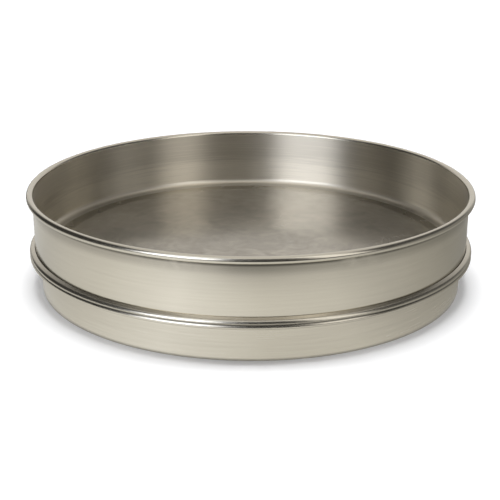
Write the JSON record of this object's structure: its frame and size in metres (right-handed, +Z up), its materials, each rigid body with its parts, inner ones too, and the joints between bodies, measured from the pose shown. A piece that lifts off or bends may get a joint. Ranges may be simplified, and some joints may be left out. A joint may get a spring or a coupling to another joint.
{
  "type": "sieve",
  "caption": "Round stacking sieve of satin steel sheet with a wired rim, fine wire cloth soldered to a turned-in foot, and a narrower skirt under a double bead that nests in the rim below.",
  "frame": {"origin": "centre of the circle that the skirt stands on", "axes": "+Z up along the sieve's axis, from the skirt's foot to the rim"},
  "size_m": [0.3144, 0.3144, 0.0687],
  "materials": {
    "drum_steel": "satin stainless sheet, brushed round the drum",
    "rim_wire_steel": "drawn wire, hidden in the rim",
    "skirt_steel": "satin stainless sheet, brushed round the skirt",
    "hoop_steel": "plain cold-rolled strip",
    "cloth_steel": "fine woven stainless wire cloth with a satin sheen",
    "joint_solder": "smooth wiped solder"
  },
  "bodies": {
    "root": {"upper_frame": "drum_steel", "rim_wire": "rim_wire_steel", "nesting_skirt": "skirt_steel", "cloth_hoop": "hoop_steel", "sieve_cloth": "cloth_steel", "joint_solder": "joint_solder"}
  },
  "joints": []
}
